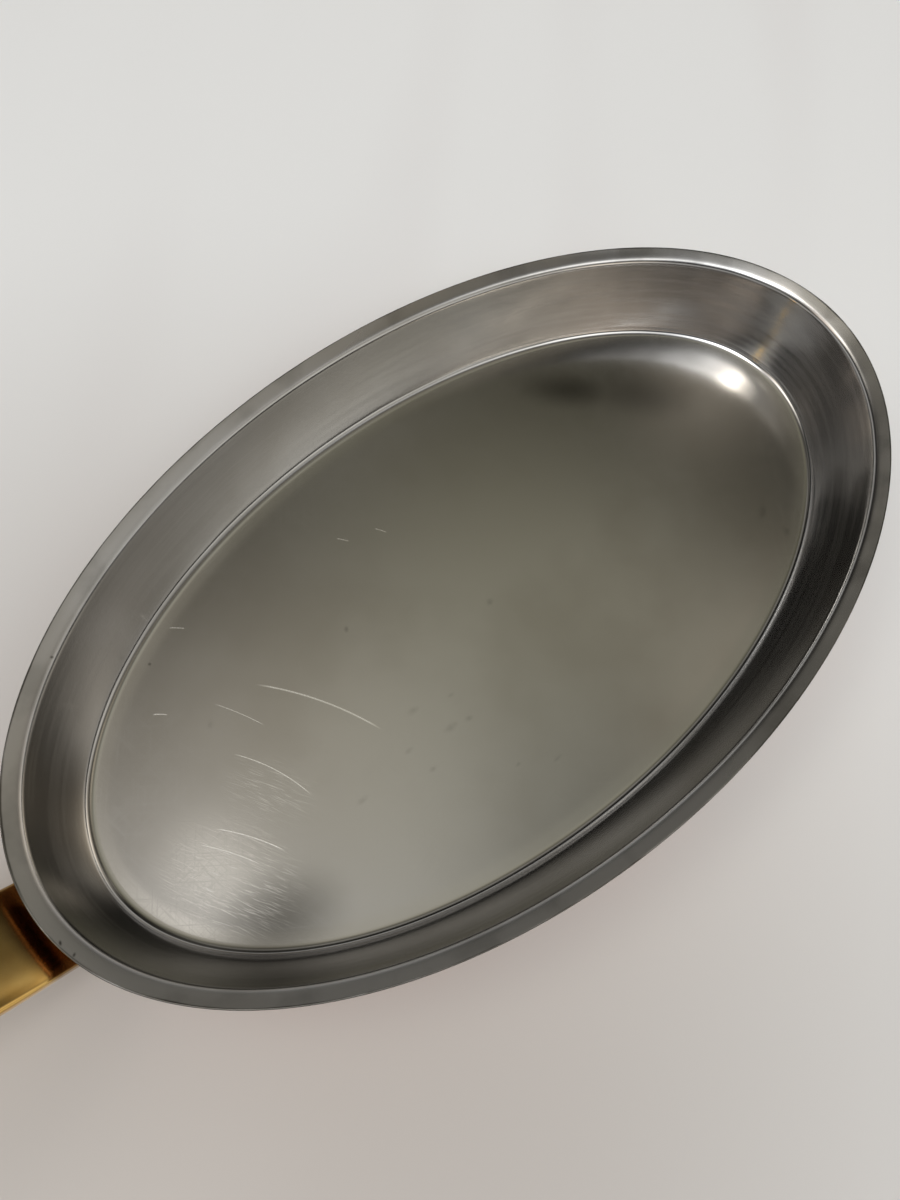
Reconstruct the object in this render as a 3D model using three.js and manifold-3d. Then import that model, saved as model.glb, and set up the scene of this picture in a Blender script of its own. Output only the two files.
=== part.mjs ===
// Oval copper pan with a stainless steel lining, a flared pouring lip and a cast brass handle.
// Millimetres, +Z up. The origin is the middle of the flat underside and the handle points along -X.
import * as THREE from "three";
import { mergeVertices } from "three/addons/utils/BufferGeometryUtils.js";
import Module from "manifold-3d";

// Pan body. The sizes are those of the cooking surface, and insets are measured inwards from the rim.
const RIM_LENGTH = 380;
const RIM_WIDTH = 218;
const PAN_DEPTH = 35.8;
const LIP_INSET = 5.9;
const LIP_SLOPE = 24;
const LIP_BEND_RADIUS = 3;
const COLLAR_HEIGHT = 4.6;
const COLLAR_LEAN = 12;
const COLLAR_BEND_RADIUS = 9;
const FLOOR_INSET = 16.4;
const FLOOR_FILLET_RADIUS = 3;

// Bonded sheet: a steel layer inside and a copper layer outside, trimmed upright at the rim.
const STEEL_THICKNESS = 0.5;
const COPPER_THICKNESS = 1.5;

// Clearance between pieces that seat on each other.
const SEAT_GAP = 0.3;

// Handle. Its centreline runs at the height of its widest edge: straight from the wall to below the rim,
// then climbing at that slope and levelling out. Places along it are measured outwards from the end of the
// rim, so those under the lip are negative.
const HANDLE_BELOW_RIM = 11.3;
const HANDLE_CLIMB = 40;
const HANDLE_REACH = 190;
const HANDLE_RISE = 67.5;
const HANDLE_TIP_CLIMB = 8;
const ROOT_PULL = 60;
const TIP_PULL = 80;

// Handle widths, heights of the section above and below its widest edge, and where along it they change.
const ROOT_START = -28;
const ROOT_WIDTH = 31.6;
const WAIST_WIDTH = 21;
const END_WIDTH = 27;
const TAPER_FROM = 10;
const WAIST_AT = 110;
const END_FROM_TIP = 22;
const ROOT_CROWN = 2.2;
const ROOT_KEEL = 4.4;
const GRIP_CROWN = 3.8;
const GRIP_KEEL = 3.4;
const GRIP_FROM = 70;
const ROOT_SQUARENESS = 5;
const GRIP_SQUARENESS = 2.7;

// Round tip of the handle: the part of its height that it keeps at the very end, and the degrees of its
// half circle, short of 90 so that it ends in a narrow flat.
const TIP_HEIGHT_KEPT = 0.45;
const TIP_SWING = 82;

// Hanging hole near the tip of the handle.
const HOLE_LENGTH = 22;
const HOLE_WIDTH = 10;
const HOLE_FROM_TIP = 24;

// Foot of the handle: a plate cast in one with it that lies against the wall.
const FOOT_FLARE = 1.7;
const FOOT_BELOW_STUDS = 6.3;
const FOOT_ABOVE_STUDS = 18.2;
const FOOT_THICKNESS = 4.2;
const FOOT_CORNER_RADIUS = 6;

// Studs welded to the outside of the wall, with the washers and domed nuts that hold the foot.
const STUD_HEIGHT = 10.8;
const STUD_SPACING = 16.4;
const STUD_DIAMETER = 5;
const STUD_PAST_HEXAGON = 0.8;
const WASHER_MARGIN = 0.2;
const WASHER_THICKNESS = 0.8;
const WASHER_RECESS = 1.6;
const NUT_ACROSS_FLATS = 8;
const NUT_HEX_HEIGHT = 3.6;
const NUT_SHOULDER = 0.4;

// Facets.
const OVAL_SEGMENTS = 72;
const LIP_BEND_STEPS = 6;
const COLLAR_BEND_STEPS = 2;
const FLOOR_FILLET_STEPS = 5;
const HANDLE_SIDES = 32;
const HANDLE_STEPS = 30;
const TIP_STEPS = 6;
const ROUND_SEGMENTS = 24;
const DOME_STEPS = 5;

const { clamp, degToRad, lerp, smoothstep } = THREE.MathUtils;
const SHEET = STEEL_THICKNESS + COPPER_THICKNESS;
const RIM_HEIGHT = PAN_DEPTH + SHEET;
const HALF_LENGTH = RIM_LENGTH / 2;
const HALF_WIDTH = RIM_WIDTH / 2;

const wasm = await Module();
wasm.setup();

// A closed geometry as a solid that can be joined and cut.
function solidOf(geometry) {
  const bare = geometry.clone();
  bare.deleteAttribute("normal");
  bare.deleteAttribute("uv");
  const merged = mergeVertices(bare, 1e-4);
  const mesh = new wasm.Mesh({
    numProp: 3,
    vertProperties: merged.attributes.position.array,
    triVerts: new Uint32Array(merged.index.array),
  });
  return new wasm.Manifold(mesh);
}

// The geometry of a solid that was joined or cut.
function geometryOf(solid) {
  const mesh = solid.getMesh();
  const geometry = new THREE.BufferGeometry();
  geometry.setAttribute("position", new THREE.BufferAttribute(mesh.vertProperties, 3));
  geometry.setIndex(new THREE.BufferAttribute(mesh.triVerts, 1));
  geometry.computeVertexNormals();
  return geometry;
}

// Moves every vertex of a geometry to where place(x, y, z) says.
function reshape(geometry, place) {
  const positions = geometry.attributes.position;
  for (let i = 0; i < positions.count; i += 1) {
    const p = place(positions.getX(i), positions.getY(i), positions.getZ(i));
    positions.setXYZ(i, p.x, p.y, p.z);
  }
  return geometry;
}

// The corners of the cooking surface's outline, from the rim to the middle of the floor,
// as distance from the pan's axis on its narrow side and height.
function outlineCorners() {
  const rim = new THREE.Vector2(HALF_WIDTH, RIM_HEIGHT);
  const lipDrop = LIP_INSET * Math.tan(degToRad(LIP_SLOPE));
  const collarInset = COLLAR_HEIGHT * Math.tan(degToRad(COLLAR_LEAN));
  const lip = new THREE.Vector2(rim.x - LIP_INSET, rim.y - lipDrop);
  const collar = new THREE.Vector2(lip.x - collarInset, lip.y - COLLAR_HEIGHT);
  const floor = new THREE.Vector2(rim.x - FLOOR_INSET, rim.y - PAN_DEPTH);
  const middle = new THREE.Vector2(0, floor.y);
  return [rim, lip, collar, floor, middle];
}

// One rounded corner of the outline, at a depth below the cooking surface. The sheet's underside is on
// the left of the way from rim to middle, so a bend to the left gets tighter with depth and one to the
// right gets wider.
function bendPoints(before, corner, after, radius, steps, depth) {
  const into = corner.clone().sub(before).normalize();
  const away = after.clone().sub(corner).normalize();
  const turn = Math.atan2(into.cross(away), into.dot(away));
  const side = Math.sign(turn);
  const left = new THREE.Vector2(-into.y, into.x);
  const start = corner.clone().addScaledVector(into, -radius * Math.tan(Math.abs(turn) / 2));
  const centre = start.clone().addScaledVector(left, side * radius);
  const spoke = start.clone().sub(centre).multiplyScalar((radius - side * depth) / radius);
  const points = [];
  for (let i = 0; i <= steps; i += 1) {
    const swung = spoke.clone().rotateAround(new THREE.Vector2(0, 0), (turn * i) / steps);
    points.push(swung.add(centre));
  }
  return points;
}

// The whole outline at a depth below the cooking surface, from the rim to the middle.
function sheetOutline(depth) {
  const [rim, lip, collar, floor, middle] = outlineCorners();
  return [
    new THREE.Vector2(rim.x, rim.y - depth / Math.cos(degToRad(LIP_SLOPE))),
    ...bendPoints(rim, lip, collar, LIP_BEND_RADIUS, LIP_BEND_STEPS, depth),
    ...bendPoints(lip, collar, floor, COLLAR_BEND_RADIUS, COLLAR_BEND_STEPS, depth),
    ...bendPoints(collar, floor, middle, FLOOR_FILLET_RADIUS, FLOOR_FILLET_STEPS, depth),
    new THREE.Vector2(0, middle.y - depth),
  ];
}

// Turns a closed outline about the axis and lengthens every ring by the same amount, which makes it oval.
function ovalTurned(outline) {
  const geometry = new THREE.LatheGeometry(outline, OVAL_SEGMENTS);
  geometry.rotateX(Math.PI / 2);
  return reshape(geometry, (x, y, z) => {
    const radius = Math.hypot(x, y);
    const longer = radius > 1e-6 ? (HALF_LENGTH - HALF_WIDTH) / radius : 0;
    return new THREE.Vector3(x * (1 + longer), y, z);
  });
}

// A layer of the bonded sheet between two depths.
function sheetLayer(top, bottom) {
  return ovalTurned([...sheetOutline(bottom).reverse(), ...sheetOutline(top)]);
}

// Splits every four-sided facet a, b, c, d from a to c in place of b to d. A layer turned this way has
// the same facets on its upper surface as the layer above it has on its lower one, so they touch all over.
function splitOtherWay(geometry) {
  const corners = geometry.index;
  for (let i = 0; i < corners.count; i += 6) {
    corners.setX(i + 2, corners.getX(i + 3));
    corners.setX(i + 5, corners.getX(i));
  }
  return geometry;
}

// Everything that the pan takes up, filled to the rim, with its outside moved out by a clearance.
function filledPan(clearance) {
  const outline = sheetOutline(SHEET + clearance).reverse();
  const closed = [...outline, new THREE.Vector2(HALF_WIDTH, RIM_HEIGHT), new THREE.Vector2(0, RIM_HEIGHT)];
  return solidOf(ovalTurned(closed));
}

// The handle's centreline outside the rim, in the plane Y = 0.
function handleCentreline() {
  const start = new THREE.Vector3(-HALF_LENGTH, 0, RIM_HEIGHT - HANDLE_BELOW_RIM);
  const tip = new THREE.Vector3(start.x - HANDLE_REACH, 0, start.z + HANDLE_RISE);
  const climb = degToRad(HANDLE_CLIMB);
  const tipClimb = degToRad(HANDLE_TIP_CLIMB);
  const leaving = new THREE.Vector3(-Math.cos(climb), 0, Math.sin(climb));
  const arriving = new THREE.Vector3(-Math.cos(tipClimb), 0, Math.sin(tipClimb));
  const startPull = start.clone().addScaledVector(leaving, ROOT_PULL);
  const tipPull = tip.clone().addScaledVector(arriving, -TIP_PULL);
  return new THREE.CubicBezierCurve3(start, startPull, tipPull, tip);
}

const CENTRELINE = handleCentreline();
const CENTRELINE_LENGTH = CENTRELINE.getLength();

// The centreline's direction at a place along it.
function headingAt(along) {
  return CENTRELINE.getTangentAt(clamp(along / CENTRELINE_LENGTH, 0, 1));
}

// A place beside the handle's centreline: so far along it, so far across and so far up from it.
function besideCentreline(along, across, up) {
  const heading = headingAt(along);
  const point = CENTRELINE.getPointAt(clamp(along / CENTRELINE_LENGTH, 0, 1));
  point.addScaledVector(heading, Math.min(along, 0));
  return new THREE.Vector3(point.x + heading.z * up, across, point.z - heading.x * up);
}

function handleWidth(along) {
  const narrowing = smoothstep(along, TAPER_FROM, WAIST_AT);
  const widening = smoothstep(along, WAIST_AT, CENTRELINE_LENGTH - END_FROM_TIP);
  return lerp(lerp(ROOT_WIDTH, WAIST_WIDTH, narrowing), END_WIDTH, widening);
}

// How far along the handle a ring lies, and how much the rounded tip narrows it.
function handleRing(index) {
  const tipRadius = END_WIDTH / 2;
  const tipStart = CENTRELINE_LENGTH - tipRadius;
  if (index <= HANDLE_STEPS) {
    return { along: lerp(ROOT_START, tipStart, index / HANDLE_STEPS), narrowed: 1 };
  }
  const swing = degToRad(TIP_SWING) * ((index - HANDLE_STEPS) / TIP_STEPS);
  return { along: tipStart + tipRadius * Math.sin(swing), narrowed: Math.cos(swing) };
}

// One coordinate of a superellipse, which is a circle at 2 and closer to a rectangle above that.
function squared(value, squareness) {
  return Math.abs(value) < 1e-6 ? 0 : Math.sign(value) * Math.abs(value) ** (2 / squareness);
}

// The cast bar. Its section is a superellipse with a low crown and a deeper keel at the root,
// which turns into an even, rounder grip.
function handleBar() {
  const rings = HANDLE_STEPS + TIP_STEPS;
  const geometry = new THREE.CylinderGeometry(1, 1, rings, HANDLE_SIDES, rings);
  return reshape(geometry, (x, y, z) => {
    const { along, narrowed } = handleRing(Math.round(y + rings / 2));
    const grip = smoothstep(along, 0, GRIP_FROM);
    const squareness = lerp(ROOT_SQUARENESS, GRIP_SQUARENESS, grip);
    const height = z > 0 ? lerp(ROOT_CROWN, GRIP_CROWN, grip) : lerp(ROOT_KEEL, GRIP_KEEL, grip);
    const across = squared(x, squareness) * (handleWidth(along) / 2) * narrowed;
    const up = squared(z, squareness) * height * lerp(TIP_HEIGHT_KEPT, 1, narrowed);
    return besideCentreline(along, across, up);
  });
}

// The hanging hole: a slot with round ends, cut square through the handle.
function hangingHole() {
  const end = HOLE_WIDTH / 2;
  const straight = (HOLE_LENGTH - HOLE_WIDTH) / 2;
  const shape = new THREE.Shape();
  shape.absarc(straight, 0, end, -Math.PI / 2, Math.PI / 2, false);
  shape.absarc(-straight, 0, end, Math.PI / 2, (3 * Math.PI) / 2, false);
  const depth = 3 * (GRIP_CROWN + GRIP_KEEL);
  const geometry = new THREE.ExtrudeGeometry(shape, { depth, bevelEnabled: false, curveSegments: 10 });
  geometry.translate(0, 0, -depth / 2);
  const along = CENTRELINE_LENGTH - HOLE_FROM_TIP;
  const heading = headingAt(along);
  const place = besideCentreline(along, 0, 0);
  geometry.rotateY(Math.atan2(heading.z, -heading.x));
  return solidOf(geometry.translate(place.x, place.y, place.z));
}

// The straight part of the wall: how far it leans out, and where its outside passes a height in the
// plane Y = 0.
const [, , COLLAR_CORNER, FLOOR_CORNER] = outlineCorners();
const WALL_RUN = COLLAR_CORNER.clone().sub(FLOOR_CORNER);
const WALL_LEAN = Math.atan2(WALL_RUN.x, WALL_RUN.y);

function wallOutsideAt(height) {
  const inside = FLOOR_CORNER.x + (height - FLOOR_CORNER.y) * Math.tan(WALL_LEAN);
  return -(inside + HALF_LENGTH - HALF_WIDTH + SHEET / Math.cos(WALL_LEAN));
}

// Turns a piece that stands along +Y so that it stands square to the wall on a stud's axis. Its zero lies
// where that axis would leave the wall in the plane Y = 0. Side is 1 on the left of the handle and -1 on
// the right.
function squareToWall(geometry, side) {
  geometry.rotateX(Math.PI / 2);
  geometry.rotateY(Math.atan2(-Math.cos(WALL_LEAN), -Math.sin(WALL_LEAN)));
  geometry.translate(wallOutsideAt(STUD_HEIGHT), (side * STUD_SPACING) / 2, STUD_HEIGHT);
  return solidOf(geometry);
}

// A round bar on a stud's axis, from one distance from the wall to another.
function studBar(radius, from, to, side) {
  const bar = new THREE.CylinderGeometry(radius, radius, to - from, ROUND_SEGMENTS);
  return squareToWall(bar.translate(0, (from + to) / 2, 0), side);
}

// Where the fastenings lie on a stud's axis, as distances from the wall. A stud and its bore start well
// inside the wall, which also cuts the side of them that its curve leaves short.
const STUD_START = -STUD_SPACING / 2;
const WASHER_SEAT = FOOT_THICKNESS - WASHER_RECESS;
const WASHER_FROM = WASHER_SEAT + SEAT_GAP;
const NUT_FROM = WASHER_FROM + WASHER_THICKNESS + SEAT_GAP;
const NUT_HEX_END = NUT_FROM + NUT_HEX_HEIGHT;
const STUD_END = NUT_HEX_END + STUD_PAST_HEXAGON;

const BORE_RADIUS = STUD_DIAMETER / 2 + SEAT_GAP;
const NUT_CORNER_RADIUS = NUT_ACROSS_FLATS / Math.sqrt(3);
const NUT_DOME_RADIUS = NUT_ACROSS_FLATS / 2 - NUT_SHOULDER;
const WASHER_RADIUS = NUT_CORNER_RADIUS + WASHER_MARGIN;

// The foot's plate: a rounded rectangle seen along X, as thick as the room left for it beside the wall.
function footPlate() {
  const r = FOOT_CORNER_RADIUS;
  const side = ROOT_WIDTH / 2 + FOOT_FLARE - r;
  const low = STUD_HEIGHT - FOOT_BELOW_STUDS + r;
  const high = STUD_HEIGHT + FOOT_ABOVE_STUDS - r;
  const shape = new THREE.Shape();
  shape.absarc(side, low, r, -Math.PI / 2, 0, false);
  shape.absarc(side, high, r, 0, Math.PI / 2, false);
  shape.absarc(-side, high, r, Math.PI / 2, Math.PI, false);
  shape.absarc(-side, low, r, Math.PI, (3 * Math.PI) / 2, false);
  const settings = { depth: HALF_LENGTH, bevelEnabled: false, curveSegments: 6 };
  const geometry = new THREE.ExtrudeGeometry(shape, settings);
  geometry.rotateX(Math.PI / 2);
  geometry.rotateZ(Math.PI / 2);
  geometry.translate(-HALF_LENGTH - HALF_LENGTH / 2, 0, 0);
  return solidOf(geometry).intersect(filledPan(SEAT_GAP + FOOT_THICKNESS));
}

// The handle: bar and foot in one casting, cut back to the wall, with flat seats for the washers,
// the studs' holes and the hanging hole.
function handleGeometry() {
  let handle = solidOf(handleBar()).add(footPlate()).subtract(filledPan(SEAT_GAP));
  const reach = NUT_HEX_END + NUT_DOME_RADIUS + SEAT_GAP;
  for (const side of [1, -1]) {
    handle = handle.subtract(studBar(WASHER_RADIUS + SEAT_GAP, WASHER_SEAT, reach, side));
    handle = handle.subtract(studBar(BORE_RADIUS, STUD_START, reach, side));
  }
  return geometryOf(handle.subtract(hangingHole()));
}

function studGeometry(side) {
  return geometryOf(studBar(STUD_DIAMETER / 2, STUD_START, STUD_END, side).subtract(filledPan(SEAT_GAP)));
}

function washerGeometry(side) {
  const end = WASHER_FROM + WASHER_THICKNESS;
  const disc = studBar(WASHER_RADIUS, WASHER_FROM, end, side);
  return geometryOf(disc.subtract(studBar(BORE_RADIUS, STUD_START, end + SEAT_GAP, side)));
}

// A hexagon with a domed end, bored from below to just past the end of the stud.
function nutGeometry(side) {
  const hex = new THREE.CylinderGeometry(NUT_CORNER_RADIUS, NUT_CORNER_RADIUS, NUT_HEX_HEIGHT, 6);
  const inside = NUT_FROM + SEAT_GAP;
  const outline = [new THREE.Vector2(0, inside), new THREE.Vector2(NUT_DOME_RADIUS, inside)];
  for (let i = 0; i < DOME_STEPS; i += 1) {
    const rise = (i / DOME_STEPS) * (Math.PI / 2);
    const place = new THREE.Vector2(Math.cos(rise), Math.sin(rise)).multiplyScalar(NUT_DOME_RADIUS);
    outline.push(place.add(new THREE.Vector2(0, NUT_HEX_END)));
  }
  outline.push(new THREE.Vector2(0, NUT_HEX_END + NUT_DOME_RADIUS));
  const dome = squareToWall(new THREE.LatheGeometry(outline, ROUND_SEGMENTS), side);
  const nut = squareToWall(hex.translate(0, (NUT_FROM + NUT_HEX_END) / 2, 0), side).add(dome);
  return geometryOf(nut.subtract(studBar(BORE_RADIUS, STUD_START, STUD_END + SEAT_GAP, side)));
}

// Adds a named piece with its own material.
function addPiece(group, name, geometry, color, roughness) {
  const material = new THREE.MeshStandardMaterial({ color, roughness, metalness: 1 });
  const mesh = new THREE.Mesh(geometry, material);
  mesh.name = name;
  group.add(mesh);
}

const pan = new THREE.Group();
addPiece(pan, "steel_lining", sheetLayer(0, STEEL_THICKNESS), 0x9c9a92, 0.35);
addPiece(pan, "copper_shell", splitOtherWay(sheetLayer(STEEL_THICKNESS, SHEET)), 0xb9653f, 0.25);
addPiece(pan, "brass_handle", handleGeometry(), 0xc99b45, 0.12);
for (const [name, side] of [["left", 1], ["right", -1]]) {
  addPiece(pan, `${name}_weld_stud`, studGeometry(side), 0x9a9995, 0.4);
  addPiece(pan, `${name}_washer`, washerGeometry(side), 0xa8a7a3, 0.3);
  addPiece(pan, `${name}_cap_nut`, nutGeometry(side), 0xc99b45, 0.2);
}

export default pan;
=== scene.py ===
"""Oval copper pan with a steel lining and a cast brass handle, standing on a pale table.

Sizes are in millimetres until a mesh is made. +Z is up, the origin is the middle of the flat underside,
and the handle points along -X.
"""

import bmesh
import bpy
import numpy as np
from mathutils import Matrix, Vector


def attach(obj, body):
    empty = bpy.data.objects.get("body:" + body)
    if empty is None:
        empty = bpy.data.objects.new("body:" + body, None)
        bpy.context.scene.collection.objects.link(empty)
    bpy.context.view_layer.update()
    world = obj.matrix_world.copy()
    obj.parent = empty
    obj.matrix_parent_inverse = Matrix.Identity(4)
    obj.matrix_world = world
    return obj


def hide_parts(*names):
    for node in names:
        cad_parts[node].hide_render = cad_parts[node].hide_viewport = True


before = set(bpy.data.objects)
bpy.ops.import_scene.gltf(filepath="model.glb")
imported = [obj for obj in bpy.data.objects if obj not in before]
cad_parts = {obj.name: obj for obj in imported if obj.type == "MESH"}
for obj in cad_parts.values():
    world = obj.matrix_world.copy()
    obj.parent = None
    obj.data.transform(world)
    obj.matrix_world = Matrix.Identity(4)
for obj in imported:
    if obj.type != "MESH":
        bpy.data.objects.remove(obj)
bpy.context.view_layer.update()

# Sizes of the pan body. Insets are measured inwards from the rim.
RIM_LENGTH = 380.0
RIM_WIDTH = 218.0
PAN_DEPTH = 35.8
LIP_INSET = 5.9
LIP_SLOPE = 24.0
LIP_BEND_RADIUS = 3.0
COLLAR_HEIGHT = 4.6
COLLAR_LEAN = 12.0
WALL_SAG = 0.75
WALL_BOW_RADIUS = 170.0
FLOOR_INSET = 16.4
FLOOR_SHIFT = 0.7
FLOOR_FILLET_RADIUS = 4.2
HEEL_RUN = 7.0
HEEL_RISE = 0.22
HEEL_RADIUS = 60.0
STEEL_THICKNESS = 0.5
COPPER_THICKNESS = 1.5
EDGE_RADIUS = 0.35
EDGE_ZONE = 1.2 * EDGE_RADIUS

# How finely the sheet's outline is worked out, and how many of its points are kept.
OUTLINE_STEP = 0.3
OUTLINE_BLUR = 0.6
LONGEST_STEP = 2.0
SHARPEST_TURN = 2.5
RIM_ZONE = 1.5

# Sizes of the handle. Places along it are measured outwards from the end of the rim.
HANDLE_BELOW_RIM = 11.3
HANDLE_CLIMB = 40.0
HANDLE_REACH = 190.0
HANDLE_RISE = 67.5
HANDLE_TIP_CLIMB = 8.0
ROOT_PULL = 60.0
TIP_PULL = 80.0
ROOT_WIDTH = 31.6
WAIST_WIDTH = 21.0
END_WIDTH = 27.0
TAPER_FROM = 10.0
WAIST_AT = 110.0
END_FROM_TIP = 22.0
ROOT_CROWN = 2.2
ROOT_KEEL = 4.4
GRIP_CROWN = 3.78
GRIP_KEEL = 3.4
GRIP_FROM = 70.0
ROOT_SQUARENESS = 5.0
GRIP_SQUARENESS = 2.7
HOLE_LENGTH = 22.0
HOLE_WIDTH = 10.0
HOLE_FROM_TIP = 24.0
HOLE_ROUNDING = 2.6

# The round between the handle's bar and its foot, which starts a little under the foot's face.
SIDE_FLARE = 1.3
UNDER_FLARE = 3.0
TOP_FLARE_SHARE = 0.5
BAR_SUNK = 1.0

# Sizes of the handle's foot, and of the studs, washers and nuts that hold it.
FOOT_FLARE = 1.7
FOOT_BELOW_STUDS = 6.3
FOOT_ABOVE_STUDS = 18.2
FOOT_THICKNESS = 4.2
FOOT_CORNER_RADIUS = 6.0
FOOT_EDGE_RADIUS = 1.4
STUD_HEIGHT = 10.8
STUD_SPACING = 16.4
STUD_DIAMETER = 5.0
STUD_PAST_HEXAGON = 0.8
WASHER_MARGIN = 0.2
WASHER_THICKNESS = 0.8
WASHER_RECESS = 1.6
WASHER_EDGE_RADIUS = 0.2
NUT_ACROSS_FLATS = 8.0
NUT_HEX_HEIGHT = 3.6
NUT_SHOULDER = 0.4
NUT_CHAMFER_ANGLE = 30.0
SEAT_GAP = 0.3
BORE_STARTS_BEHIND = 3.0
BORE_ENDS_PAST = 1.0
SHARP_ANGLE = 38.0
ROUND_SEGMENTS = 96
CUTTER_SEGMENTS = 64
MERGE_DISTANCE = 0.002
TINY = 1e-9
NO_TRIANGLES = np.zeros((0, 3), int)

SHEET = STEEL_THICKNESS + COPPER_THICKNESS
RIM_HEIGHT = PAN_DEPTH + SHEET
HALF_LENGTH = RIM_LENGTH / 2
HALF_WIDTH = RIM_WIDTH / 2
STRETCH = HALF_LENGTH - HALF_WIDTH
LIP_GRADE = np.tan(np.radians(LIP_SLOPE))
BORE_RADIUS = STUD_DIAMETER / 2 + SEAT_GAP
FOOT_FACE = SEAT_GAP + FOOT_THICKNESS
WASHER_SEAT = FOOT_THICKNESS - WASHER_RECESS
WASHER_FROM = WASHER_SEAT + SEAT_GAP
WASHER_END = WASHER_FROM + WASHER_THICKNESS
NUT_FROM = WASHER_END + SEAT_GAP
NUT_HEX_END = NUT_FROM + NUT_HEX_HEIGHT
STUD_END = NUT_HEX_END + STUD_PAST_HEXAGON
NUT_CORNER_RADIUS = NUT_ACROSS_FLATS / 3 ** 0.5
WASHER_RADIUS = NUT_CORNER_RADIUS + WASHER_MARGIN
MM = 0.001


# Meshes.

def mesh_piece(name, points, quads, triangles, material):
    """A new smooth-shaded piece from points in millimetres and faces as arrays of point numbers."""
    mesh = bpy.data.meshes.new(name)
    faces = [face.tolist() for face in quads] + [face.tolist() for face in triangles]
    mesh.from_pydata((points * MM).tolist(), [], faces)
    mesh.polygons.foreach_set("use_smooth", np.ones(len(faces), bool))
    mesh.update()
    piece = bpy.data.objects.new(name, mesh)
    bpy.context.scene.collection.objects.link(piece)
    if material:
        mesh.materials.append(material)
    return piece


def ring_faces(rows, around, first=0):
    """Quads of a grid of rows that close round on themselves, in the order of the points."""
    row = np.arange(rows - 1)[:, None] * around
    here = np.arange(around)[None, :]
    after = (here + 1) % around
    corners = [row + here, row + after, row + around + after, row + around + here]
    return first + np.stack(corners, -1).reshape(-1, 4)


def cap_faces(pole, ring_start, around, outward):
    """Triangles from a pole to a ring of points."""
    here = ring_start + np.arange(around)
    after = ring_start + (np.arange(around) + 1) % around
    middle = np.full(around, pole)
    ordered = [middle, after, here] if outward else [middle, here, after]
    return np.stack(ordered, -1)


def capped_faces(rows, around):
    """Faces of a grid of rows that close round on themselves, and of the caps at its ends, whose two poles
    come after the grid's points."""
    count = rows * around
    start = cap_faces(count, 0, around, True)
    end = cap_faces(count + 1, count - around, around, False)
    return ring_faces(rows, around), np.vstack([start, end])


# Pan body.

def outline_corners():
    """Corners of the cooking surface's outline as radius on the narrow side and height: rim, lip, the
    wall's belly, the foot of the wall and the heel, where the floor starts to rise towards the wall.

    The belly stands off the middle of the line between its neighbours by twice the wall's sag.
    """
    rim = np.array([HALF_WIDTH, RIM_HEIGHT])
    lip = rim - [LIP_INSET, LIP_INSET * LIP_GRADE]
    floor = rim - [FLOOR_INSET + FLOOR_SHIFT, PAN_DEPTH - HEEL_RISE]
    heel = floor - [HEEL_RUN, HEEL_RISE]
    down = (floor - lip) / np.linalg.norm(floor - lip)
    belly = (lip + floor) / 2 + np.array([-down[1], down[0]]) * 2 * WALL_SAG
    return rim, lip, belly, floor, heel


def bend(before, corner, after, radius, steps=14):
    """Points of the arc that rounds a corner. It starts at radius times tan(half the turn) before the
    corner."""
    into = (corner - before) / np.linalg.norm(corner - before)
    away = (after - corner) / np.linalg.norm(after - corner)
    turn = np.arctan2(into[0] * away[1] - into[1] * away[0], into @ away)
    left = np.array([-into[1], into[0]]) * np.sign(turn)
    start = corner - into * radius * np.tan(abs(turn) / 2)
    angle = np.linspace(0, abs(turn), steps)[:, None]
    return start + left * radius * (1 - np.cos(angle)) + into * radius * np.sin(angle)


def cooking_outline(floor_run=30.0, window_steps=10):
    """The cooking surface's outline from the rim to a little way across the floor, as close even points.

    Straight lines and arcs are joined, and each point is then moved to a Gaussian average along the
    outline, because a pressed sheet has no sharp change of curvature.
    """
    rim, lip, belly, floor, heel = outline_corners()
    inner = heel - [floor_run, 0]
    line = np.vstack([
        rim,
        bend(rim, lip, belly, LIP_BEND_RADIUS),
        bend(lip, belly, floor, WALL_BOW_RADIUS),
        bend(belly, floor, heel, FLOOR_FILLET_RADIUS),
        bend(floor, heel, inner, HEEL_RADIUS),
        inner,
    ])
    travelled = np.r_[0, np.cumsum(np.linalg.norm(np.diff(line, axis=0), axis=1))]
    even = np.arange(0, travelled[-1], OUTLINE_STEP)
    points = np.stack([np.interp(even, travelled, line[:, k]) for k in (0, 1)], 1)
    offsets = np.arange(-window_steps, window_steps + 1)
    window = np.exp(-0.5 * (offsets * OUTLINE_STEP / OUTLINE_BLUR) ** 2)
    window /= window.sum()
    extra = np.arange(1, window_steps + 1)[:, None]
    before = points[0] + (points[0] - points[1]) * extra[::-1]
    behind = points[-1] + (points[-1] - points[-2]) * extra
    padded = np.vstack([before, points, behind])
    return np.stack([np.convolve(padded[:, k], window, "valid") for k in (0, 1)], 1)


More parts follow.
